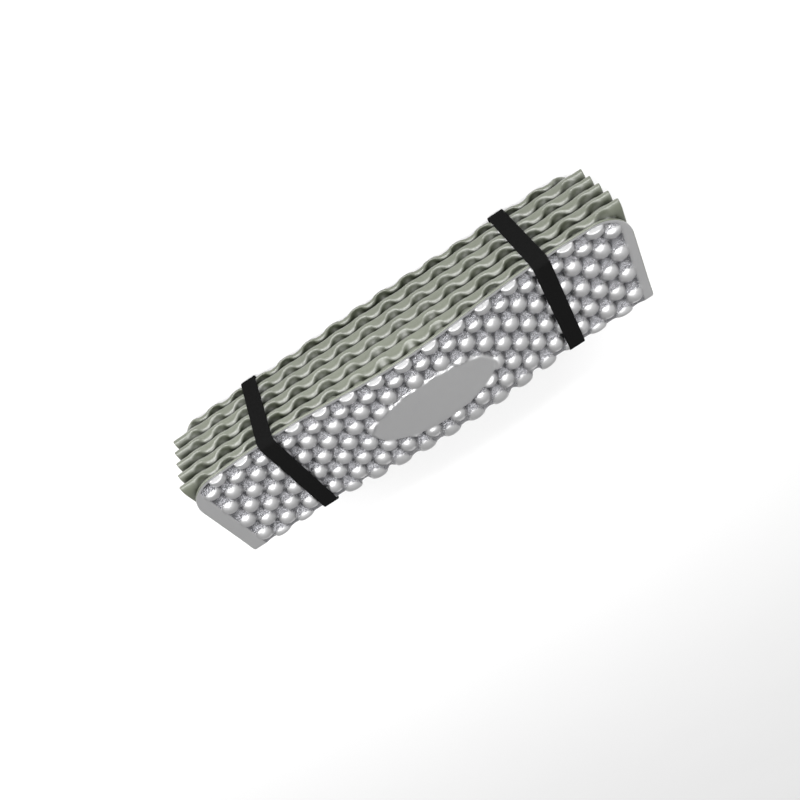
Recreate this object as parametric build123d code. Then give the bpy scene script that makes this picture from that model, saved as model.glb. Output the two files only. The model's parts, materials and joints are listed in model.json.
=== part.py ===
"""Folding foam sleeping pad, strapped shut.

Twelve foam panels lie in a stack and fold open like an accordion. The pad's
width runs along X, the folds lie at the +Y and -Y sides, and the stack rests
on Z = 0. Panel 01 is at the bottom and panel 12 on top. Odd panels have their
silver film underneath, and even panels have it on top. Sizes are millimetres.
"""
import os

from build123d import *

# The pad
pad_width = 570.0  # along X, and so the length of every fold
panel_depth = 142.0  # along Y, from one fold line to the next
panel_count = 12
sheet_loft = 20.0  # one panel, measured over the bumps on both its faces
nest_pitch = 9.7  # height that each further panel adds, its bumps nested
belly_room = 2.0  # extra height outside each end panel for the stack's belly
running_gap = 0.3  # clear space between two neighbouring panels
free_corner_radius = 40.0
nose_radius = 4.0  # rounding of a panel's outer corner along a fold
film_thickness = 0.4
web_radius = 0.9  # pressed foam web that a fold turns on
web_clearance = 0.3

# The two elastic straps
strap_centres = {"left": 170.0, "right": -181.0}  # along X
strap_width = 20.0
strap_thickness = 1.5
strap_inset = 4.0  # how far a strap sinks in from the stack's top and bottom
strap_side_gap = 0.3  # between a strap and the fold webs
strap_bend_radius = 2.0
groove_side_gap = 2.0
lap_length = 30.0  # where the strap's two ends lie on each other
stitch_row_width = 2.0
stitch_row_length = 16.0
stitch_height = 0.6
stitch_rows = 3

stack_height = (panel_count - 1) * nest_pitch + sheet_loft + 2 * belly_room
end_panel_height = (sheet_loft + nest_pitch) / 2 + belly_room
fold_y = panel_depth / 2


def interface_height(number):
    """Height of the plane between panel `number` and the one above it."""
    return end_panel_height + (number - 1) * nest_pitch


def fold_side(number):
    """Side of the fold between panel `number` and the next: +1 is +Y, -1 is -Y."""
    return 1 if number % 2 else -1


def panel_heights(number):
    """Lowest and highest height of a panel, its film included."""
    low = 0.0 if number == 1 else interface_height(number - 1) + running_gap / 2
    high = stack_height if number == panel_count else interface_height(number) - running_gap / 2
    return low, high


def silver_side(number):
    """-1 where the film is under the panel, and +1 where it is on top."""
    return -1 if number % 2 else 1


def panel_plan(number, inset):
    """Outline of a panel: square at its folds, rounded along a free long edge."""
    width = pad_width - 2 * inset
    depth = panel_depth - running_gap - 2 * inset
    plan = Rectangle(width, depth)
    if number in (1, panel_count):
        free_corners = plan.vertices().group_by(Axis.Y)[0]
        plan = fillet(free_corners, free_corner_radius - inset)
    return plan


def plate(number, inset, low, high):
    """A flat plate with the panel's outline, between two heights."""
    return Pos(0, 0, low) * extrude(panel_plan(number, inset), high - low)


def fold_edges(solid, number):
    """The outer long edges of a panel where it turns over at a fold."""
    wanted = []
    long_edges = solid.edges().filter_by(Axis.X)
    if number < panel_count:
        side = long_edges.group_by(Axis.Y)[-1 if fold_side(number) > 0 else 0]
        wanted.append(side.sort_by(Axis.Z)[0])
    if number > 1:
        side = long_edges.group_by(Axis.Y)[-1 if fold_side(number - 1) > 0 else 0]
        wanted.append(side.sort_by(Axis.Z)[-1])
    return wanted


def fold_rod(number, radius):
    """A rod along the fold line above panel `number`."""
    place = Pos(0, fold_side(number) * fold_y, interface_height(number))
    return place * Rot(0, 90, 0) * Cylinder(radius, pad_width)


def strap_grooves():
    """Room that the straps press into the stack's underside and top."""
    depth = strap_inset + strap_thickness + running_gap
    width = strap_width + 2 * groove_side_gap
    cutters = []
    for centre in strap_centres.values():
        for height in (depth / 2, stack_height - depth / 2):
            cutters.append(Pos(centre, 0, height) * Box(width, panel_depth, depth))
    return cutters


def foam_panel(number):
    """The foam slab of one panel, with its rounded fold corners."""
    low, high = panel_heights(number)
    if silver_side(number) < 0:
        low += film_thickness
    else:
        high -= film_thickness
    slab = plate(number, 0.0, low, high)
    slab = fillet(fold_edges(slab, number), nose_radius)
    if number < panel_count:
        slab -= fold_rod(number, web_radius)
    if number > 1:
        slab -= fold_rod(number - 1, web_radius + web_clearance)
    if number in (1, panel_count):
        slab -= strap_grooves()
    return slab


def silver_film(number):
    """The aluminised film on one face of a panel, between its folds."""
    low, high = panel_heights(number)
    if silver_side(number) < 0:
        film = plate(number, nose_radius, low, low + film_thickness)
    else:
        film = plate(number, nose_radius, high - film_thickness, high)
    if number in (1, panel_count):
        film -= strap_grooves()
    return film


def strap_band(centre):
    """One elastic strap, a flat closed loop round the stack with a sewn lap underneath."""
    half_depth = fold_y + web_radius + strap_side_gap + strap_thickness
    height = stack_height - 2 * strap_inset
    outer = RectangleRounded(2 * half_depth, height, strap_bend_radius)
    inner = RectangleRounded(
        2 * (half_depth - strap_thickness),
        height - 2 * strap_thickness,
        strap_bend_radius - strap_thickness,
    )
    loop = Plane.YZ * extrude(outer - inner, strap_width / 2, both=True)
    band = Pos(centre, 0, stack_height / 2) * loop
    lap_height = strap_inset - strap_thickness / 2
    lap = Pos(centre, 0, lap_height) * Box(strap_width, lap_length, strap_thickness)
    return band + lap


def strap_stitching(centre):
    """Rows of thread that close the strap's lap."""
    height = strap_inset - strap_thickness - stitch_height / 2
    spacing = (lap_length - 2 * stitch_row_width) / (stitch_rows - 1)
    rows = []
    for row in range(stitch_rows):
        along = (row - (stitch_rows - 1) / 2) * spacing
        thread = Box(stitch_row_length, stitch_row_width, stitch_height)
        rows.append(Pos(centre, along, height) * thread)
    return Compound(children=rows)


def main():
    """Write every node's STEP file."""
    nodes = {}
    for number in range(1, panel_count + 1):
        nodes[f"panel_{number:02d}_foam"] = foam_panel(number)
        nodes[f"panel_{number:02d}_film"] = silver_film(number)
    for number in range(1, panel_count):
        nodes[f"fold_{number:02d}_web"] = fold_rod(number, web_radius)
    for side, centre in strap_centres.items():
        nodes[f"strap_{side}_band"] = strap_band(centre)
        nodes[f"strap_{side}_stitching"] = strap_stitching(centre)

    os.makedirs("parts", exist_ok=True)
    for name, shape in nodes.items():
        export_step(shape, f"parts/{name}.step")


main()
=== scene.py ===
"""Looks of the folding foam sleeping pad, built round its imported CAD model.

Twelve egg-crate foam panels lie nested in a stack, with one bump wave running
through all of them. Odd panels carry their silver film underneath and even
panels on top. The folds are rounded noses at the +Y and -Y sides. Two elastic
straps hold the stack shut. Sizes are millimetres until a mesh is made.
"""
import json
import math

import bpy
import numpy as np
from mathutils import Matrix, Vector

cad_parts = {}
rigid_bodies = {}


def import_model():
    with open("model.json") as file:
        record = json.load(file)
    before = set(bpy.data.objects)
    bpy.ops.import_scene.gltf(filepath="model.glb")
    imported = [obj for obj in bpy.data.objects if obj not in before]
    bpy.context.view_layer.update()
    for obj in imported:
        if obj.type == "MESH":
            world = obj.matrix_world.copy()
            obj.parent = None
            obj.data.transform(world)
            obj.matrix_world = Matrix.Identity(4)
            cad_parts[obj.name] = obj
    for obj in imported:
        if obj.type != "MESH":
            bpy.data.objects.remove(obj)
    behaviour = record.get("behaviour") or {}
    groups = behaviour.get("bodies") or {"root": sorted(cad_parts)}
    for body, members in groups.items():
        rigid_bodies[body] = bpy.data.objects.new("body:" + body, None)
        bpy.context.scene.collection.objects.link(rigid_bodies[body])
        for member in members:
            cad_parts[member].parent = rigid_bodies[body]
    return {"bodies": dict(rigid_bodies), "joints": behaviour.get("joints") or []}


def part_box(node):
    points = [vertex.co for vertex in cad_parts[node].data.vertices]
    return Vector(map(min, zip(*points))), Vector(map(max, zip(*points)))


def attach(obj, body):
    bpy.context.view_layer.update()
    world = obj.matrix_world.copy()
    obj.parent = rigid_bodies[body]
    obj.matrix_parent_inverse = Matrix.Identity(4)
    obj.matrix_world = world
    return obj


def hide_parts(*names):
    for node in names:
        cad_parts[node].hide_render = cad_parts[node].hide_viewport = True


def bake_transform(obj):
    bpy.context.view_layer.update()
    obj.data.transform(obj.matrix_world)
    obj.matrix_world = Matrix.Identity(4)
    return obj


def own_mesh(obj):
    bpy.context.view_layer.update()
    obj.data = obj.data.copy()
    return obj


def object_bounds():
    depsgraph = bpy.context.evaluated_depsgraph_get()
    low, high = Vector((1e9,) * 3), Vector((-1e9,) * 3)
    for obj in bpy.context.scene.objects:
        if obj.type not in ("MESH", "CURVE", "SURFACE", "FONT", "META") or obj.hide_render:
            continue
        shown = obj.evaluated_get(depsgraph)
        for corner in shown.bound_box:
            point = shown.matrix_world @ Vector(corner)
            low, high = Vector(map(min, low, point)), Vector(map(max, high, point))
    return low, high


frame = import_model()
cad_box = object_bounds()

MM = 0.001

# The frame's own sizes
joints = {joint["name"]: joint for joint in frame["joints"]}
PANEL_COUNT = sum(body.startswith("panel") for body in frame["bodies"])
HALF_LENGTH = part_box("panel_02_foam")[1].x / MM
FOLD_Y = joints["fold_01"]["pos_m"][1] / MM
FIRST_SEAM = joints["fold_01"]["pos_m"][2] / MM
PANEL_PITCH = joints["fold_02"]["pos_m"][2] / MM - FIRST_SEAM

# The foam sheet and its bumps
SHEET = 4.7  # from a bump's tip to the hollow behind it
LEAST_SHEET = 2.5  # kept where an end panel's two faces come near each other
CLEARANCE = 0.1  # of an end panel from the panel beside it
BUMP_RISE = 7.0  # of a tip above the sheet, and of a hollow below it
BUMP_RADIUS = 9.6
BUMP_FLARE = 2.0  # how steeply a bump's surface goes on falling beyond its radius
OUTWARD_RADIUS = 11.2  # on the stack's top and bottom face, where no panel nests
BUMP_FLOOR = -0.1  # level between two bumps, as a share of the rise
BUMP_BLEND = 0.12  # how softly a bump and the floor meet
BUMP_PITCH_X = 17.4
BUMP_PITCH_Y = 16.875
BUMP_SHIFT_X = -3.0
LAST_COLUMN = 15  # bump columns each way from the middle one
LAST_ROW = 4
MARGIN_START = 268.0  # along X, where the pressed flat end margin begins
MARGIN_BLEND = 4.0
MARGIN_HALF = 2.0  # half the thickness of the margin
FREE_CORNER_RADIUS = 40.0
RIM_WIDTH = 5.5  # pressed flat rim along a free edge
RIM_BLEND = 1.8
RIM_FACE = 3.0  # an end panel's rim, from its middle height to its outward face
RIM_BACK = 0.5
FIRST_ROW_SHIFT = 5.0  # how far the outward row of bumps at a free edge is pushed inwards
FIRST_ROW_EASE = (-50.0, -58.0)  # the Y between which that shift grows
EDGE_ROUNDING = 1.6
EDGE_POWER = 2.4  # 2 would round a cut edge as a circle
REAR_ROUNDING = 9.0  # of the bottom panel's free edge, which isn't pressed flat
REAR_EASE = 25.0
STEP = 2.4  # of the meshes along X and Y
FRONT_STEP = 1.5  # of the top panel's mesh
EDGE_STEPS = np.array([0.0, 0.08, 0.3, 0.7, 1.2, 1.8])  # mesh rows inside a cut edge
RIM_STEPS = np.arange(2.4, 9.1, 0.45)  # mesh rows that follow them at a free edge
SHARP_ANGLE = math.radians(50)

# The folds
NOSE_DEPTH = {1: 8.0, -1: 13.0}  # by side, how far from the crest the rounding starts
NOSE_POWER = {1: 2.2, -1: 2.0}  # 2 is an ellipse
NOSE_STEPS = 18
NOSE_INNER_EASE = 9.0  # over which the inner face closes on the fold line
NOSE_SHEET = 6.9  # the sheet at a fold
NOSE_RISE_UP = 4.4  # the bumps' rise along a fold, on a panel's upper face
NOSE_RISE_DOWN = 2.2
NOSE_EASE = (54.0, 60.0)  # the Y between which the sheet and its bumps change to these
NOSE_LEAST_HALF = 2.5  # height of the outer face beside the fold line, at least
WEB_REACH = 0.7  # of a web from the fold's crest
WEB_GAP = 0.02  # of a web's edge above the skin that it lies on
WEB_LIFT = 0.12  # added to that at the crest
WEB_SINK = 0.4  # how deep a web goes into the skin

# The stack's belly: how much thicker the stack is than its even pitch
BELLY_MIDDLE = 10.0
BELLY_STRAPS = -8.0
BELLY_ENDS = -3.0
BELLY_BELOW = 0.27  # share of the belly that goes downwards
BELLY_AT_FOLD = 0.6  # share of the belly that is left at the folds
BULGE = 8.8  # how far the top +Y fold bulges outwards between the straps
BULGE_POWER = 4.0  # how evenly it is spread between the straps
BULGE_START = 56.0  # the Y where it starts
CREASE_HALF = 1.3  # height beside the hinge line that doesn't bulge
CREASE_BLEND = 3.8  # height over which the bulge then grows

# The film
FILM_OUT = 0.15  # of its outer face from the foam's surface
FILM_IN = 0.2  # of its inner face below the foam's surface
FILM_INSET = 4  # rows of the mesh that the film leaves bare at a cut edge
HOLLOW_START = 0.22  # bump level below which the film is crinkled and its colour painted darker as shade
HOLLOW_BLEND = 0.5  # levels over which the crinkles and the painted shade grow
HOLLOW_SHIFT = 1.2  # how far the crinkles and the painted shade climb the -Y flank of each bump

# The blank oval patch on the top panel
PATCH_CENTRE = (-8.0, 10.0)
PATCH_HALF = (79.0, 34.0)
PATCH_HEIGHT = 5.0  # above the panel's middle
PATCH_BLEND = 0.07  # as a share of the patch's half width

# The straps
STRAP_WIDTH = 20.0
STRAP_THICK = 1.5
STRAP_PRESS = 1.1  # how far a strap presses the bumps in
STRAP_BED = 0.05  # clearance of a strap from the foam that it presses, and from its own lap
STRAP_BESIDE = 0.4  # width beside a strap that is pressed down as far
STRAP_SLOPE = 1.2  # of the dent's two sides
STRAP_SIDE = 71.35  # inner face of the strap beside the folds
STRAP_RIM = 67.0  # where a strap starts to bend over the free edges
STRAP_LAP = 30.0
LAP_SLANT = (8.0, 4.0)  # where the strap steps down to its lap, from the lap's end
STRAP_STEP = 2.0  # of the mesh along a strap
RIB_PITCH = 0.9  # of the elastic's ribs across the strap
PICK_PITCH = 0.7  # of the picks along it
STITCH_LENGTH = 1.7
STITCH_GAP = 0.5
STITCH_RADIUS = 0.28
STITCH_ROWS = (-13.0, 0.0, 13.0)
STITCHES = 7  # in a row


def smooth(value):
    """Eases from 0 to 1 as value goes from 0 to 1."""
    value = np.clip(value, 0.0, 1.0)
    return value * value * (3.0 - 2.0 * value)


def mix(a, b, share):
    """a where share is 0 and b where it is 1."""
    return a + (b - a) * share


def fold_side(number):
    """Side of the fold between panel `number` and the next: +1 is +Y, -1 is -Y."""
    return 1 if number % 2 else -1


def seam_height(number):
    """Height of the fold line above panel `number`."""
    return FIRST_SEAM + (number - 1) * PANEL_PITCH


def silver_on_top(number):
    return number % 2 == 0


def is_end(number):
    return number in (1, PANEL_COUNT)


def outward_side(number):
    """+1 for the top panel, whose outward face is its upper one, and -1 for the bottom panel."""
    return 1 if number == PANEL_COUNT else -1


def strap_places():
    """Each strap's middle along X, by side."""
    places = {}
    for side in ("left", "right"):
        low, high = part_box(f"strap_{side}_band")
        places[side] = (low.x + high.x) / 2 / MM
    return places


STRAPS = strap_places()
STRAPS_MIDDLE = (STRAPS["left"] + STRAPS["right"]) / 2
STRAPS_APART = STRAPS["left"] - STRAPS["right"]


def belly(number, x, y):
    """How far the stack's belly lifts panel `number` at a point."""
    reach = STRAPS_APART / 2
    away = np.abs(x - STRAPS_MIDDLE) / reach
    inside = mix(BELLY_MIDDLE, BELLY_STRAPS, smooth(away))
    outside = mix(BELLY_STRAPS, BELLY_ENDS, smooth((away - 1) / (HALF_LENGTH / reach - 1)))
    total = np.where(away < 1, inside, outside)
    held = smooth((np.abs(y) - FOLD_Y / 2) * 2 / FOLD_Y)
    if is_end(number):
        held = held * (y > 0)
    return total * ((number - 1) / (PANEL_COUNT - 1) - BELLY_BELOW) * mix(1, BELLY_AT_FOLD, held)


def bulged(number, x, y, z):
    """Y of a point, with the top fold's two lips bulging outwards between the straps.

    The crease between the lips stays on the hinge line, where it has room to open.
    """
    if number < PANEL_COUNT - 1:
        return y + 0 * x
    lip = smooth((np.abs(z - seam_height(PANEL_COUNT - 1)) - CREASE_HALF) / CREASE_BLEND)
    reach = (STRAPS_APART - STRAP_WIDTH) / 2
    out = BULGE * (1 - np.minimum(np.abs(x - STRAPS_MIDDLE) / reach, 1) ** BULGE_POWER)
    return y + lip * out * smooth((y - BULGE_START) / (FOLD_Y - BULGE_START))


def free_edge(number, x):
    """Y of the panel's -Y edge: a fold line, or a free edge with rounded corners."""
    if not is_end(number):
        return np.full_like(x, -FOLD_Y)
    into = np.clip(np.abs(x) - (HALF_LENGTH - FREE_CORNER_RADIUS), 0, FREE_CORNER_RADIUS)
    return FREE_CORNER_RADIUS - FOLD_Y - np.sqrt(FREE_CORNER_RADIUS**2 - into**2)


def edge_distance(number, x, y):
    """How far a point lies inside the panel's cut edges. A fold isn't one."""
    side = HALF_LENGTH - np.abs(x) + 0 * y
    if not is_end(number):
        return side
    free = y + FOLD_Y + 0 * x
    corner = FREE_CORNER_RADIUS - np.hypot(FREE_CORNER_RADIUS - side, FREE_CORNER_RADIUS - free)
    in_corner = (side < FREE_CORNER_RADIUS) & (free < FREE_CORNER_RADIUS)
    return np.where(in_corner, corner, np.minimum(side, free))


def is_outward(number, parity):
    """Whether a face is the stack's top or bottom."""
    return (number, parity) in ((PANEL_COUNT, 0), (1, 1))


def nearest_bump(number, x, y, parity, outward):
    """Distance to the nearest bump's axis, and whether that bump is there.

    Bumps of parity 0 rise on the upper face and those of parity 1 on the lower.
    """
    rimmed = outward and number == PANEL_COUNT
    if rimmed:
        start, end = FIRST_ROW_EASE
        y = y - FIRST_ROW_SHIFT * smooth((y - start) / (end - start))
    across = (x - BUMP_SHIFT_X) / BUMP_PITCH_X - parity
    along = y / BUMP_PITCH_Y
    first = np.round((across + along) / 2)
    second = np.round((across - along) / 2)
    column, row = first + second, first - second
    away = np.hypot((across - column) * BUMP_PITCH_X, (along - row) * BUMP_PITCH_Y)
    column = column + parity
    there = (np.abs(column) <= LAST_COLUMN) & (np.abs(row) <= LAST_ROW)
    if rimmed:
        centre_x = column * BUMP_PITCH_X + BUMP_SHIFT_X
        centre_y = row * BUMP_PITCH_Y + np.where(row == -LAST_ROW, FIRST_ROW_SHIFT, 0)
        there &= edge_distance(number, centre_x, centre_y) > RIM_WIDTH
    return away, there


def relief(number, x, y, parity):
    """Height of one face's bumps, from 1 at a tip to -1 in the bottom of a hollow."""
    outward = is_outward(number, parity)
    radius = OUTWARD_RADIUS if outward else BUMP_RADIUS
    away, there = nearest_bump(number, x, y, parity, outward)
    behind, hollowed = nearest_bump(number, x, y, 1 - parity, outward)
    drop = radius - np.sqrt(np.maximum(radius**2 - away**2, 0.0))
    drop = (drop + BUMP_FLARE * np.maximum(away - radius, 0.0)) / BUMP_RISE
    bump = np.where(there, 1.0 - drop, -2.0)
    reach = math.hypot(BUMP_PITCH_X, BUMP_PITCH_Y) / 2
    floor = mix(-1.0, BUMP_FLOOR, smooth(behind / reach))
    floor = np.where(hollowed, floor, BUMP_FLOOR)
    return soft_max(bump, floor, BUMP_BLEND)


def soft_max(a, b, blend):
    """The greater of two values, rounded where they meet."""
    return (a + b + np.sqrt((a - b) ** 2 + blend**2)) / 2


def panel_middle(number, x, y):
    """Height of the middle of panel `number`'s sheet at a point."""
    return seam_height(number) - PANEL_PITCH / 2 + belly(number, x, y)


def tip_height(number, x):
    """Height of the bump tips on the end panel's outward face at one X."""
    middle = float(panel_middle(number, np.array(float(x)), np.array(0.0)))
    return middle + outward_side(number) * (SHEET / 2 + BUMP_RISE)


def strap_inner(number, x):
    """Height of the strap's inner face where it crosses an end panel."""
    return tip_height(number, x) - outward_side(number) * STRAP_PRESS


def pressed(number, x, face):
    """The end panel's outward face, pressed in under the straps."""
    side = outward_side(number)
    for place in STRAPS.values():
        beside = np.maximum(np.abs(x - place) - STRAP_WIDTH / 2 - STRAP_BESIDE, 0.0)
        limit = side * strap_inner(number, place) - STRAP_BED + STRAP_SLOPE * beside
        face = side * np.minimum(side * face, limit)
    return face


def flat_share(number, x, y):
    """1 where the panel is pressed flat, at its ends and free edge, and 0 where it has bumps."""
    flat = smooth((np.abs(x - BUMP_SHIFT_X) - MARGIN_START) / MARGIN_BLEND)
    if number == PANEL_COUNT:
        rim = smooth((RIM_WIDTH - edge_distance(number, x, y)) / RIM_BLEND)
        flat = np.maximum(flat, rim)
    return flat


def patch_share(x, y):
    """1 on the oval patch of the top panel."""
    across = (x - PATCH_CENTRE[0]) / PATCH_HALF[0]
    along = (y - PATCH_CENTRE[1]) / PATCH_HALF[1]
    return 1 - smooth((np.hypot(across, along) - 1) / PATCH_BLEND)


def hollow_share(number, x, y):
    """1 in the hollows between the silver bumps, where the film is crinkled most and its colour is
    painted darker as shade.
    """
    level = relief(number, x, y - HOLLOW_SHIFT, 0 if silver_on_top(number) else 1)
    flat = smooth(2 * flat_share(number, x, y) - 1)
    share = smooth((HOLLOW_START - level) / HOLLOW_BLEND) * (1 - flat)
    if number == PANEL_COUNT:
        share = share * (1 - patch_share(x, y))
    return share


def panel_surfaces(number, x, y):
    """Heights of the panel's upper and lower face at points of its plan."""
    x, y = np.broadcast_arrays(x, y)
    inside = edge_distance(number, x, y)
    at_fold = smooth((np.abs(y) - NOSE_EASE[0]) / (NOSE_EASE[1] - NOSE_EASE[0]))
    if number == PANEL_COUNT:
        at_fold = at_fold * (y > 0)
    half = mix(SHEET, NOSE_SHEET, at_fold) / 2
    rise_up = mix(BUMP_RISE, NOSE_RISE_UP, at_fold)
    rise_down = mix(BUMP_RISE, NOSE_RISE_DOWN, at_fold)
    flat = flat_share(number, x, y)
    flat_up = flat_down = MARGIN_HALF
    if number == PANEL_COUNT:
        flat_up, flat_down = RIM_FACE, RIM_BACK
    up = mix(half + rise_up * relief(number, x, y, 0), flat_up, flat)
    down = mix(half + rise_down * relief(number, x, y, 1), flat_down, flat)
    if number == PANEL_COUNT:
        patch = patch_share(x, y)
        up = mix(up, PATCH_HEIGHT, patch)
        down = np.maximum(down, mix(-BUMP_RISE, LEAST_SHEET - PATCH_HEIGHT, patch))
        up = np.maximum(up, LEAST_SHEET - down)
    if number == 1:
        down = np.maximum(down, LEAST_SHEET - up)
    middle = panel_middle(number, x, y)
    upper, lower = middle + up, middle - down
    if number == PANEL_COUNT:
        beside = panel_surfaces(number - 1, x, y)[0] + CLEARANCE
        lower = np.where(y < NOSE_EASE[0], np.maximum(lower, beside), lower)
        upper = np.maximum(upper, lower + LEAST_SHEET)
    if number == 1:
        beside = panel_surfaces(number + 1, x, y)[1] - CLEARANCE
        upper = np.where(y < NOSE_EASE[0], np.minimum(upper, beside), upper)
        lower = np.minimum(lower, upper - LEAST_SHEET)
    if number == PANEL_COUNT:
        upper = pressed(number, x, upper)
    if number == 1:
        lower = pressed(number, x, lower)
    if number < PANEL_COUNT:
        lower, upper = nosed(lower, upper, seam_height(number), y, fold_side(number))
    if number > 1:
        upper, lower = nosed(upper, lower, seam_height(number - 1), y, fold_side(number - 1))
    rounding = EDGE_ROUNDING
    if number == 1:
        corner = FOLD_Y - FREE_CORNER_RADIUS
        rounding = mix(EDGE_ROUNDING, REAR_ROUNDING, smooth((-y - corner) / REAR_EASE))
    share = np.clip(inside / rounding, 0, 1)
    round_off = (1 - (1 - share) ** EDGE_POWER) ** (1 / EDGE_POWER)
    edge = (upper + lower) / 2
    return mix(edge, upper, round_off), mix(edge, lower, round_off)


def nosed(outer, inner, seam, y, side):
    """Turns a panel's outer face round the fold at `seam`, and eases its inner face into it."""
    reach = y * side
    depth, power = NOSE_DEPTH[side], NOSE_POWER[side]
    into = np.clip((reach - (FOLD_Y - depth)) / depth, 0, 1)
    turned = (1 - into**power) ** (1 / power)
    half = outer - seam
    least = np.where(into > 0, NOSE_LEAST_HALF, 0.0)
    half = np.sign(half) * np.maximum(np.abs(half), least)
    eased = smooth((FOLD_Y - reach) / NOSE_INNER_EASE)
    return np.where(into > 0, seam + half * turned, outer), mix(seam, inner, eased)


def stations(length, step):
    """Places along X, close together at both ends."""
    inner = length - EDGE_STEPS[-1]
    middle = np.linspace(-inner, inner, round(2 * inner / step) + 1)
    return np.concatenate([EDGE_STEPS[:-1] - length, middle, (length - EDGE_STEPS[:-1])[::-1]])


def nose_rows(side):
    """Places across a fold's nose, close together at its crest."""
    turn = np.linspace(0, math.pi / 2, NOSE_STEPS)
    return FOLD_Y - NOSE_DEPTH[side] * (1 - np.sin(turn))


def panel_rows(number, step):
    """Places from the panel's -Y side to its +Y side."""
    last = nose_rows(1)
    first = -nose_rows(-1)[::-1]
    if is_end(number):
        first = np.concatenate([EDGE_STEPS, RIM_STEPS]) - FOLD_Y
    count = round((last[0] - first[-1]) / step)
    return np.concatenate([first, np.linspace(first[-1], last[0], count + 1)[1:-1], last])


def panel_grid(number, x, rows):
    """The plan points of a panel's mesh, squeezed in behind its rounded corners."""
    y = rows[:, None]
    shift = (free_edge(number, x) + FOLD_Y)[None, :] * np.clip(-y / FOLD_Y, 0, 1)
    return np.broadcast_to(x[None, :], (len(rows), len(x))), y + shift


def stacked(x, y, z):
    """Points from three grids of coordinates."""
    return np.stack([x, y, z], axis=-1)


def normals(points):
    """Unit normals of a grid of points, upwards for a level grid."""
    n = np.cross(np.gradient(points, axis=1), np.gradient(points, axis=0))
    return n / np.maximum(np.linalg.norm(n, axis=-1, keepdims=True), 1e-9)


def quads(index):
    """The faces of a grid of point numbers."""
    corners = [index[:-1, :-1], index[:-1, 1:], index[1:, 1:], index[1:, :-1]]
    return np.stack(corners, axis=-1).reshape(-1, 4)


def shell(top, bottom, merged):
    """A closed mesh of two grids. merged means that they already meet at their border."""
    count = top.shape[0] * top.shape[1]
    upper = np.arange(count).reshape(top.shape[:2])
    lower = upper + count
    if merged:
        kept = np.zeros(top.shape[:2], bool)
        kept[1:-1, 1:-1] = True
        lower = upper.copy()
        lower[kept] = count + np.arange(kept.sum())
        points = np.concatenate([top.reshape(-1, 3), bottom[kept]])
        return points, np.concatenate([quads(upper), quads(lower)[:, ::-1]])
    points = np.concatenate([top.reshape(-1, 3), bottom.reshape(-1, 3)])
    faces = [quads(upper), quads(lower)[:, ::-1]]
    borders = [(0, slice(None)), (slice(None), -1), (-1, slice(None, None, -1)),
               (slice(None, None, -1), 0)]
    for border in borders:
        a, b = upper[border], lower[border]
        faces.append(np.stack([b[:-1], b[1:], a[1:], a[:-1]], axis=-1))
    return points, np.concatenate(faces)


def turned_outward(points, faces):
    """The faces, turned over if the closed mesh is inside out."""
    a, b, c, d = (points[faces[:, i]] for i in range(4))
    volume = np.einsum("ij,ij->i", a, np.cross(b, c) + np.cross(c, d)).sum()
    return faces if volume > 0 else faces[:, ::-1]


def make_piece(name, points, faces, material, marks=None):
    """A smooth mesh of quads. marks holds named values of its points for the material."""
    faces = turned_outward(points, faces)
    mesh = bpy.data.meshes.new(name)
    mesh.vertices.add(len(points))
    mesh.vertices.foreach_set("co", (points * MM).astype(np.float32).ravel())
    mesh.loops.add(faces.size)
    mesh.loops.foreach_set("vertex_index", faces.astype(np.int32).ravel())
    mesh.polygons.add(len(faces))
    mesh.polygons.foreach_set("loop_start", np.arange(0, faces.size, 4, dtype=np.int32))
    mesh.update(calc_edges=True)
    for mark, values in (marks or {}).items():
        kind = "FLOAT" if values.ndim == 1 else "FLOAT_VECTOR"
        attribute = mesh.attributes.new(mark, kind, "POINT")
        target = "value" if values.ndim == 1 else "vector"
        attribute.data.foreach_set(target, values.astype(np.float32).ravel())
    mesh.shade_smooth()
    mesh.set_sharp_from_angle(angle=SHARP_ANGLE)
    mesh.materials.append(material)
    piece = bpy.data.objects.new(name, mesh)
    bpy.context.scene.collection.objects.link(piece)
    return piece


# Materials


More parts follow.
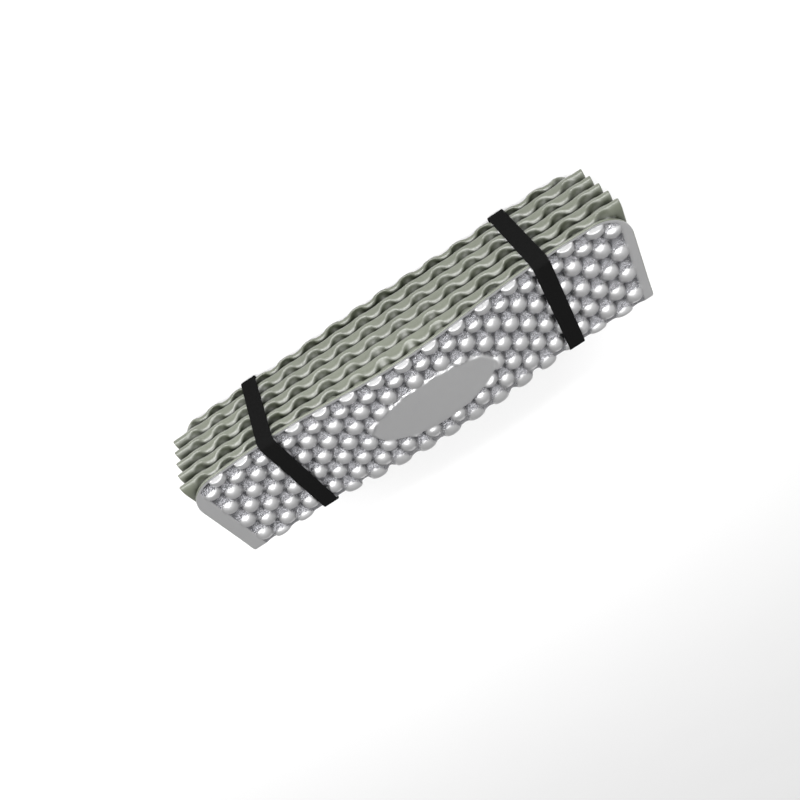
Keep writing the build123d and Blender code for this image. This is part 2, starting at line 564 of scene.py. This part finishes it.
class Look:
    """A material under construction: each call to add() makes one node and wires it."""

    def __init__(self, name, **settings):
        self.material = bpy.data.materials.new(name)
        self.material.use_nodes = True
        self.nodes = self.material.node_tree.nodes
        self.links = self.material.node_tree.links
        self.surface = self.nodes["Principled BSDF"]
        self.wire(self.surface, settings)

    def wire(self, node, inputs):
        """Links each named input to a socket, or sets its value."""
        for name, value in inputs.items():
            key = name if isinstance(name, int) else name.replace("_", " ")
            if isinstance(value, bpy.types.NodeSocket):
                self.links.new(value, node.inputs[key])
            else:
                node.inputs[key].default_value = value

    def add(self, kind, output=0, options=None, **inputs):
        node = self.nodes.new("ShaderNode" + kind)
        for name, value in (options or {}).items():
            setattr(node, name, value)
        self.wire(node, inputs)
        return node.outputs[output]

    def math(self, operation, *values):
        node = self.nodes.new("ShaderNodeMath")
        node.operation = operation
        self.wire(node, dict(enumerate(values)))
        return node.outputs[0]

    def ramp(self, value, low, high, out_low=0.0, out_high=1.0):
        node = self.nodes.new("ShaderNodeMapRange")
        self.wire(node, {0: value, 1: low, 2: high, 3: out_low, 4: out_high})
        return node.outputs[0]

    def blend(self, share, low, high):
        node = self.nodes.new("ShaderNodeMix")
        node.data_type = "RGBA"
        self.wire(node, {0: share, 6: low, 7: high})
        return node.outputs[2]

    def mark(self, name, output):
        node = self.nodes.new("ShaderNodeAttribute")
        node.attribute_name = name
        return node.outputs[output]

    def place(self):
        """The point in the piece's own frame, in millimetres."""
        node = self.nodes.new("ShaderNodeTexCoord")
        return self.add("VectorMath", options={"operation": "SCALE"},
                        **{"Vector": node.outputs["Object"], "Scale": 1 / MM})

    def noise(self, vector, scale, detail=2.0, roughness=0.5, distortion=0.0):
        return self.add("TexNoise", Vector=vector, Scale=scale, Detail=detail,
                        Roughness=roughness, Distortion=distortion)

    def openness(self, reach, low, high, least):
        """1 in the open, falling to `least` deep in a gap narrower than `reach` millimetres."""
        node = self.nodes.new("ShaderNodeAmbientOcclusion")
        node.samples = 8
        self.wire(node, {"Distance": reach * MM})
        return self.ramp(node.outputs["AO"], low, high, least, 1.0)

    def bump(self, height, strength, distance, normal=None):
        inputs = {"Height": height, "Strength": strength, "Distance": distance * MM}
        if normal is not None:
            inputs["Normal"] = normal
        return self.add("Bump", **inputs)

    def finish(self, **inputs):
        self.wire(self.surface, inputs)
        return self.material


def film_look():
    """Aluminised film: satin on the bumps and crinkled in the hollows between them, where its
    colour is also painted darker as shade.
    """
    look = Look("silver_film", Metallic=0.92)
    place = look.place()
    hollow = look.mark("hollow", "Fac")
    waves = look.noise(place, 0.09, 3.0, 0.6)
    streaked = look.add("Mapping", Vector=place, Rotation=(0.0, 0.0, math.radians(-45)),
                        Scale=(0.3, 1.0, 0.7))
    streaks = look.noise(streaked, 0.8, 3.0, 0.65, 0.6)
    fine = look.noise(place, 0.8, 2.0, 0.6, 0.8)
    crinkle = look.math("ADD", streaks, look.math("MULTIPLY", fine, 0.5))
    # Painted shade: a ragged mask, strongest deep in the hollows, that darkens the film's colour
    # there.
    ragged = look.math("MULTIPLY", look.math("SUBTRACT", crinkle, 0.75), 1.4)
    painted_hollow_shade = look.ramp(look.math("ADD", hollow, ragged), 0.2, 0.9)
    painted_hollow_shade = look.math("MULTIPLY", painted_hollow_shade, look.ramp(hollow, 0.0, 0.12))
    crinkle_depth = look.ramp(hollow, 0.0, 0.7, 0.12, 1.0)
    normal = look.bump(crinkle, crinkle_depth, 1.1)
    normal = look.bump(waves, 0.3, 0.5, normal)
    # The film's colour, painted darker in the hollows between the bumps as shade.
    colour = look.blend(painted_hollow_shade, (0.47, 0.47, 0.473, 1), (0.22, 0.22, 0.232, 1))
    roughness = look.ramp(look.noise(place, 0.2, 2.0), 0.3, 0.7, 0.34, 0.42)
    roughness = look.math("MULTIPLY", roughness, look.ramp(hollow, 0.0, 1.0, 1.0, 0.6))
    return look.finish(Base_Color=colour, Roughness=roughness, Normal=normal)


def foam_look():
    """Closed-cell foam with a satin skin; its colour is painted near-black deep in narrow gaps as
    shade.
    """
    look = Look("foam", Specular_IOR_Level=0.9, Coat_Weight=0.9, Coat_Roughness=0.27)
    place = look.place()
    mottle = look.noise(place, 0.035, 3.0)
    cells = look.noise(place, 1.4, 3.0, 0.6)
    mottle = look.ramp(mottle, 0.3, 0.7)
    colour = look.blend(mottle, (0.056, 0.064, 0.038, 1), (0.068, 0.078, 0.047, 1))
    # Painted shade: the colour falls to near-black deep in the gaps between ridges and panels.
    painted_gap_shade = look.openness(16.0, 0.3, 0.85, 0.0)
    colour = look.blend(painted_gap_shade, (0.006, 0.008, 0.004, 1), colour)
    roughness = look.ramp(cells, 0.3, 0.7, 0.36, 0.46)
    normal = look.bump(cells, 0.25, 0.12)
    normal = look.bump(look.noise(place, 0.12, 2.0), 0.3, 0.6, normal)
    return look.finish(Base_Color=colour, Roughness=roughness, Normal=normal)


def elastic_look():
    """Black knitted elastic: fine ribs along the band, crossed by its picks."""
    look = Look("elastic", Specular_IOR_Level=0.0)
    run = look.mark("run", "Vector")
    parts = look.nodes.new("ShaderNodeSeparateXYZ")
    look.wire(parts, {0: run})
    ribs = look.math("SINE", look.math("MULTIPLY", parts.outputs[1], 2 * math.pi / RIB_PITCH))
    picks = look.math("SINE", look.math("MULTIPLY", parts.outputs[0], 2 * math.pi / PICK_PITCH))
    weave = look.math("ADD", ribs, look.math("MULTIPLY", picks, 0.5))
    fuzz = look.noise(run, 3.0, 3.0)
    weave_tone = look.ramp(weave, -1.5, 1.5)
    colour = look.blend(weave_tone, (0.004, 0.004, 0.004, 1), (0.010, 0.010, 0.010, 1))
    normal = look.bump(look.math("ADD", weave, fuzz), 0.6, 0.12)
    roughness = look.ramp(fuzz, 0.3, 0.7, 0.7, 0.85)
    return look.finish(Base_Color=colour, Roughness=roughness, Normal=normal)


def thread_look():
    """Twisted black sewing thread."""
    look = Look("thread", Roughness=0.6)
    place = look.place()
    twist = look.add("TexWave", Vector=place, Scale=1.3, Distortion=1.0)
    colour = look.blend(twist, (0.012, 0.012, 0.012, 1), (0.03, 0.03, 0.03, 1))
    return look.finish(Base_Color=colour, Normal=look.bump(twist, 0.5, 0.05))


def floor_look():
    """A plain pale studio floor."""
    look = Look("floor", Roughness=0.9)
    tone = look.noise(look.place(), 0.002, 2.0)
    colour = look.blend(tone, (0.90, 0.90, 0.90, 1), (0.92, 0.92, 0.92, 1))
    return look.finish(Base_Color=colour)


FILM = film_look()
FOAM = foam_look()
ELASTIC = elastic_look()
THREAD = thread_look()


# The panels


def build_panel(number, step):
    """The foam body and the film of one panel."""
    body = f"panel_{number:02d}"
    x, y = panel_grid(number, stations(HALF_LENGTH, step), panel_rows(number, step))
    upper, lower = panel_surfaces(number, x, y)
    top = stacked(x, bulged(number, x, y, upper), upper)
    bottom = stacked(x, bulged(number, x, y, lower), lower)

    points, faces = shell(top, bottom, merged=True)
    foam = make_piece(f"pad_foam_{number:02d}", points, faces, FOAM)
    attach(foam, body)
    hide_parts(f"{body}_foam")

    if silver_on_top(number):
        face, facing = top, normals(top)
    else:
        face, facing = bottom, -normals(bottom)
    bare = FILM_INSET if is_end(number) else 0
    covered = (slice(bare, None), slice(FILM_INSET, -FILM_INSET))
    face, facing = face[covered], facing[covered]
    points, faces = shell(face + facing * FILM_OUT, face - facing * FILM_IN, merged=False)
    hollow = hollow_share(number, x, y)[covered].ravel()
    marks = {"hollow": np.concatenate([hollow, hollow])}
    film = make_piece(f"pad_film_{number:02d}", points, faces, FILM, marks)
    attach(film, body)
    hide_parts(f"{body}_film")


def build_web(number, step):
    """The pressed strip that joins two panels along the crest of their fold."""
    side = fold_side(number)
    rows = nose_rows(side)
    rows = rows[rows > FOLD_Y - WEB_REACH]
    x = stations(HALF_LENGTH, step)[None, :]
    y = side * rows[:, None]
    x, y = np.broadcast_arrays(x, y)
    underside = panel_surfaces(number, x, y)[1]
    upside = panel_surfaces(number + 1, x, y)[0]
    below = stacked(x, bulged(number, x, y, underside), underside)
    above = stacked(x, bulged(number + 1, x, y, upside), upside)
    skin = np.concatenate([below, above[-2::-1]])
    facing = normals(skin)
    facing = facing * side * np.sign(facing[len(rows) - 1, :, 1]).mean()
    crest = np.sin(np.linspace(0, math.pi, len(skin)))[:, None, None]
    base = FILM_OUT if side > 0 else 0.0
    lift = base + WEB_GAP + WEB_LIFT * crest
    points, faces = shell(skin + facing * lift, skin - facing * WEB_SINK, merged=False)
    slot, material = ("silver_film", FILM) if side > 0 else ("foam", FOAM)
    web = make_piece(f"pad_web_{number:02d}", points, faces, material)
    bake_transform(web)
    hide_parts(f"fold_{number:02d}_web")


for panel in range(1, PANEL_COUNT + 1):
    build_panel(panel, FRONT_STEP if panel == PANEL_COUNT else STEP)
for fold in range(1, PANEL_COUNT):
    build_web(fold, STEP)


# The straps


def rounded_path(corners, arc_steps=8):
    """A line through corner points (y, z, radius), with an arc at each inner corner."""
    corners = np.array(corners, float)
    line = [corners[0, :2]]
    for before, here, after in zip(corners, corners[1:], corners[2:]):
        a = before[:2] - here[:2]
        b = after[:2] - here[:2]
        a /= np.linalg.norm(a)
        b /= np.linalg.norm(b)
        half = math.acos(np.clip(a @ b, -1, 1)) / 2
        away = here[2] / math.tan(half)
        centre = here[:2] + (a + b) / np.linalg.norm(a + b) * here[2] / math.sin(half)
        start, end = here[:2] + a * away, here[:2] + b * away
        for share in np.linspace(0, 1, arc_steps + 1):
            point = mix(start, end, share) - centre
            line.append(centre + point / np.linalg.norm(point) * here[2])
    line.append(corners[-1, :2])
    return np.array(line)


def evenly(line, step):
    """The line's points, with long straight runs divided."""
    pieces = []
    for a, b in zip(line, line[1:]):
        count = max(1, round(np.linalg.norm(b - a) / step))
        pieces.append(mix(a, b, np.arange(count)[:, None] / count))
    return np.concatenate(pieces + [line[-1:]])


def band_section():
    """Outline of the flat band: half width and half thickness, with round edges."""
    turn = np.linspace(-math.pi / 2, math.pi / 2, 7)
    edge = STRAP_WIDTH / 2 - STRAP_THICK / 2
    right = np.stack([edge + STRAP_THICK / 2 * np.cos(turn), STRAP_THICK / 2 * np.sin(turn)], 1)
    top = np.stack([np.linspace(edge, -edge, 9)[1:-1], np.full(7, STRAP_THICK / 2)], 1)
    return np.concatenate([right, top, -right, -top])


def build_strap(side, place):
    """One elastic band round the stack, its ends lapped and sewn underneath."""
    half = STRAP_THICK / 2
    top = strap_inner(PANEL_COUNT, place) + half
    low = strap_inner(1, place) - half
    out = STRAP_SIDE + half
    front = np.array(float(place))
    rim = np.array(-FOLD_Y)
    rim_top = float(panel_middle(PANEL_COUNT, front, rim)) + RIM_FACE + half
    rim_low = low + STRAP_THICK
    lap = STRAP_LAP / 2
    step_down = STRAP_THICK + STRAP_BED
    corners = [
        (-lap, low, 0),
        (out, low, 8),
        (out, top, 8),
        (-STRAP_RIM, top, 5),
        (-out, rim_top, 3),
        (-out, rim_low, 3),
        (-STRAP_RIM, low, 5),
        (-lap - LAP_SLANT[0], low, 4),
        (-lap - LAP_SLANT[1], low - step_down, 4),
        (lap, low - step_down, 0),
    ]
    line = evenly(rounded_path(corners), STRAP_STEP)
    along = np.concatenate([[0], np.cumsum(np.linalg.norm(np.diff(line, axis=0), axis=1))])
    tangent = np.gradient(line, axis=0)
    tangent /= np.linalg.norm(tangent, axis=1, keepdims=True)
    facing = np.stack([tangent[:, 1], -tangent[:, 0]], 1)
    section = band_section()
    ring = len(section)
    across = np.broadcast_to(section[:, 0], (len(line), ring))
    flat = line[:, None, :] + facing[:, None, :] * section[None, :, 1:2]
    points = stacked(place + across, flat[..., 0], flat[..., 1]).reshape(-1, 3)
    index = np.arange(len(points)).reshape(len(line), ring)
    faces = quads(np.concatenate([index, index[:, :1]], axis=1))
    caps = []
    for row, order in ((index[0], 1), (index[-1], -1)):
        for i in range(ring // 2 - 1):
            caps.append([row[i], row[i + 1], row[ring - 2 - i], row[ring - 1 - i]][::order])
    faces = np.concatenate([faces, np.array(caps)])
    run = np.stack(np.broadcast_arrays(along[:, None], section[:, 0], section[:, 1]), axis=-1)
    band = make_piece(f"strap_{side}_webbing", points, faces, ELASTIC, {"run": run.reshape(-1, 3)})
    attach(band, f"strap_{side}")
    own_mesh(band)
    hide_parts(f"strap_{side}_band")
    build_stitching(side, place, low - step_down - half)


def capsule(start, end, radius, ring=8, rings=5):
    """A short round-ended thread between two points."""
    start, end = np.array(start, float), np.array(end, float)
    axis = (end - start) / np.linalg.norm(end - start)
    side = np.cross(axis, [0.0, 0.0, 1.0])
    side /= np.linalg.norm(side)
    up = np.cross(side, axis)
    turn = np.linspace(0, 2 * math.pi, ring, endpoint=False)
    circle = np.cos(turn)[:, None] * side + np.sin(turn)[:, None] * up
    bend = np.linspace(0.12, math.pi / 2, rings)
    rows = [start - axis * radius * math.cos(b) + circle * radius * math.sin(b) for b in bend]
    rows += [end + axis * radius * math.cos(b) + circle * radius * math.sin(b) for b in bend[::-1]]
    points = np.concatenate(rows)
    index = np.arange(len(points)).reshape(2 * rings, ring)
    faces = [quads(np.concatenate([index, index[:, :1]], axis=1))]
    for row in (index[0][::-1], index[-1]):
        cap = [[row[i], row[i + 1], row[-2 - i], row[-1 - i]] for i in range(ring // 2 - 1)]
        faces.append(np.array(cap))
    return points, np.concatenate(faces)


def build_stitching(side, place, height):
    """Three rows of stitches that hold the strap's lap."""
    half = STITCH_LENGTH / 2
    all_points, all_faces, count = [], [], 0
    for row in STITCH_ROWS:
        for i in range(STITCHES):
            x = place + (i - STITCHES // 2) * (STITCH_LENGTH + STITCH_GAP)
            points, faces = capsule((x - half, row, height), (x + half, row, height), STITCH_RADIUS)
            all_points.append(points)
            all_faces.append(faces + count)
            count += len(points)
    points, faces = np.concatenate(all_points), np.concatenate(all_faces)
    thread = make_piece(f"strap_{side}_thread", points, faces, THREAD)
    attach(thread, f"strap_{side}")
    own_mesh(thread)
    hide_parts(f"strap_{side}_stitching")


for strap_side, strap_place in STRAPS.items():
    build_strap(strap_side, strap_place)


# The studio, in metres

CAMERA_PLACE = Vector((-0.0613, -0.5720, 0.6961))
CAMERA_FORWARD = Vector((0.10613, 0.69204, -0.71402))
CAMERA_UP = Vector((-0.54208, -0.56171, -0.62500))
CAMERA_LENS = 32.22
STRIP_HEIGHT = math.radians(32)  # of a light or the sky's bright side above the horizon
KEY_HEIGHT = math.radians(57)
SKY_TILT = math.radians(22)  # from the camera's own axis
FLOOR_REACH = 12.0


def add_camera():
    """The camera at the photograph's viewing angle. Returns its up and its back direction."""
    data = bpy.data.cameras.new("camera")
    data.lens = CAMERA_LENS
    data.sensor_width = 36.0
    data.clip_start = 0.01
    data.clip_end = 100.0
    camera = bpy.data.objects.new("camera", data)
    back = -CAMERA_FORWARD.normalized()
    right = CAMERA_UP.cross(back).normalized()
    up = back.cross(right)
    turn = Matrix((right, up, back)).transposed().to_4x4()
    camera.matrix_world = Matrix.Translation(CAMERA_PLACE) @ turn
    bpy.context.scene.collection.objects.link(camera)
    bpy.context.scene.camera = camera
    return up, back


def add_light(name, toward, along, distance, width, depth, power):
    """A soft rectangular light that faces the middle of the pad."""
    data = bpy.data.lights.new(name, "AREA")
    data.shape = "RECTANGLE"
    data.size = width
    data.size_y = depth
    data.energy = power
    light = bpy.data.objects.new(name, data)
    back = Vector(toward).normalized()
    side = (Vector(along) - back * Vector(along).dot(back)).normalized()
    turn = Matrix((side, back.cross(side), back)).transposed().to_4x4()
    middle = Vector((0, 0, cad_box[1].z / 2))
    light.matrix_world = Matrix.Translation(middle + back * distance) @ turn
    bpy.context.scene.collection.objects.link(light)


def add_floor():
    """A level floor just under the object."""
    mesh = bpy.data.meshes.new("floor")
    signs = [(-1, -1), (1, -1), (1, 1), (-1, 1)]
    corners = [(x * FLOOR_REACH, y * FLOOR_REACH, 0) for x, y in signs]
    mesh.from_pydata(corners, [], [(0, 1, 2, 3)])
    mesh.materials.append(floor_look())
    floor = bpy.data.objects.new("floor", mesh)
    floor.location.z = min(0.0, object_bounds()[0].z)
    bpy.context.scene.collection.objects.link(floor)


def add_world(bright_side):
    """Soft surroundings, brighter on the side that the photograph's light comes from."""
    world = bpy.data.worlds.new("studio")
    world.use_nodes = True
    nodes, links = world.node_tree.nodes, world.node_tree.links
    direction = nodes.new("ShaderNodeTexCoord")
    side = nodes.new("ShaderNodeVectorMath")
    side.operation = "DOT_PRODUCT"
    side.inputs[1].default_value = bright_side
    links.new(direction.outputs["Generated"], side.inputs[0])
    level = nodes.new("ShaderNodeMapRange")
    for name, value in (("From Min", -0.3), ("From Max", 0.5), ("To Min", 0.58), ("To Max", 1.02)):
        level.inputs[name].default_value = value
    links.new(side.outputs["Value"], level.inputs["Value"])
    sky = nodes["Background"]
    sky.inputs["Color"].default_value = (1, 1, 1, 1)
    links.new(level.outputs["Result"], sky.inputs["Strength"])
    bpy.context.scene.world = world
    bpy.context.scene.view_settings.view_transform = "Standard"


image_up, image_back = add_camera()
add_floor()
add_world(image_back * math.cos(SKY_TILT) + image_up * math.sin(SKY_TILT))
strip = (0.1, -math.cos(STRIP_HEIGHT), math.sin(STRIP_HEIGHT))
add_light("strip", strip, (1, 0, 0), distance=1.4, width=3.0, depth=0.16, power=27.0)
key = (0.1, -math.cos(KEY_HEIGHT), math.sin(KEY_HEIGHT))
add_light("key", key, (1, 0, 0), distance=1.5, width=1.1, depth=0.35, power=9.0)
